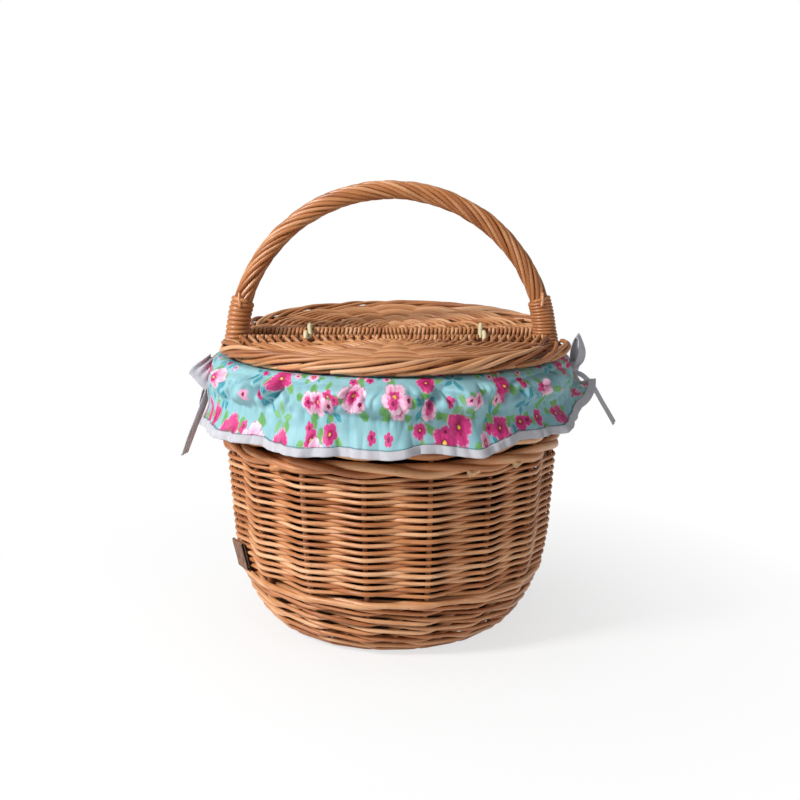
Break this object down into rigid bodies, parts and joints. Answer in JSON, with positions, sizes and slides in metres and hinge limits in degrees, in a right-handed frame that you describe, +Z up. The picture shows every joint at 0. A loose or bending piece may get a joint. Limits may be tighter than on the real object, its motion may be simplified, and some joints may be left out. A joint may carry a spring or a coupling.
{
  "type": "picnic basket",
  "caption": "Round wicker picnic basket with two hinged half lids, a fixed arched handle and a cloth liner turned out over the rim in a gathered cuff.",
  "frame": {"origin": "on the ground under the middle of the base", "axes": "+Z up, -Y towards the front (the side the picture shows), +X to the picture's right along the handle"},
  "size_m": [0.4408, 0.3938, 0.4461],
  "materials": {
    "willow": "buff willow, semi-gloss",
    "dark_willow": "buff willow, satin",
    "pale_cane": "peeled cane, matt",
    "floral_cloth": "printed cotton",
    "grey_tape": "cotton bias tape",
    "leather": "bare, unmarked"
  },
  "bodies": {
    "basket": {"base_cross": "willow", "base_weave": "willow", "foot_wale": "willow", "side_weave": "willow", "band_wale": "willow", "rim_border": "willow", "handle_rope": "willow", "left_whipping": "willow", "right_whipping": "willow", "stake_01": "dark_willow", "stake_02": "dark_willow", "stake_03": "dark_willow", "stake_04": "dark_willow", "stake_05": "dark_willow", "stake_06": "dark_willow", "stake_07": "dark_willow", "stake_08": "dark_willow", "stake_09": "dark_willow", "stake_10": "dark_willow", "stake_11": "dark_willow", "stake_12": "dark_willow", "stake_13": "dark_willow", "stake_14": "dark_willow", "stake_15": "dark_willow", "stake_16": "dark_willow", "stake_17": "dark_willow", "handle_bow": "dark_willow", "crossbar": "dark_willow", "front_tie_left": "pale_cane", "front_tie_right": "pale_cane", "rear_tie_left": "pale_cane", "rear_tie_right": "pale_cane", "liner_bag": "floral_cloth", "front_cuff": "floral_cloth", "rear_cuff": "floral_cloth", "front_hem": "grey_tape", "rear_hem": "grey_tape", "left_bow_knot": "grey_tape", "left_bow_loop_front": "grey_tape", "left_bow_tail_front": "grey_tape", "left_bow_loop_rear": "grey_tape", "left_bow_tail_rear": "grey_tape", "right_bow_knot": "grey_tape", "right_bow_loop_front": "grey_tape", "right_bow_tail_front": "grey_tape", "right_bow_loop_rear": "grey_tape", "right_bow_tail_rear": "grey_tape", "leather_tag": "leather"},
    "front_flap": {"front_flap_frame": "dark_willow", "front_flap_weave": "willow", "front_flap_border": "willow"},
    "rear_flap": {"rear_flap_frame": "dark_willow", "rear_flap_weave": "willow", "rear_flap_border": "willow"}
  },
  "joints": [
    {"name": "front_flap_hinge", "type": "hinge", "parent": "basket", "child": "front_flap", "pos_m": [0.004, -0.0231, 0.2898], "axis": [-1, 0, 0], "range_deg": [0, 88]},
    {"name": "rear_flap_hinge", "type": "hinge", "parent": "basket", "child": "rear_flap", "pos_m": [0.004, 0.0231, 0.2913], "axis": [1, 0, 0], "range_deg": [0, 82]}
  ]
}
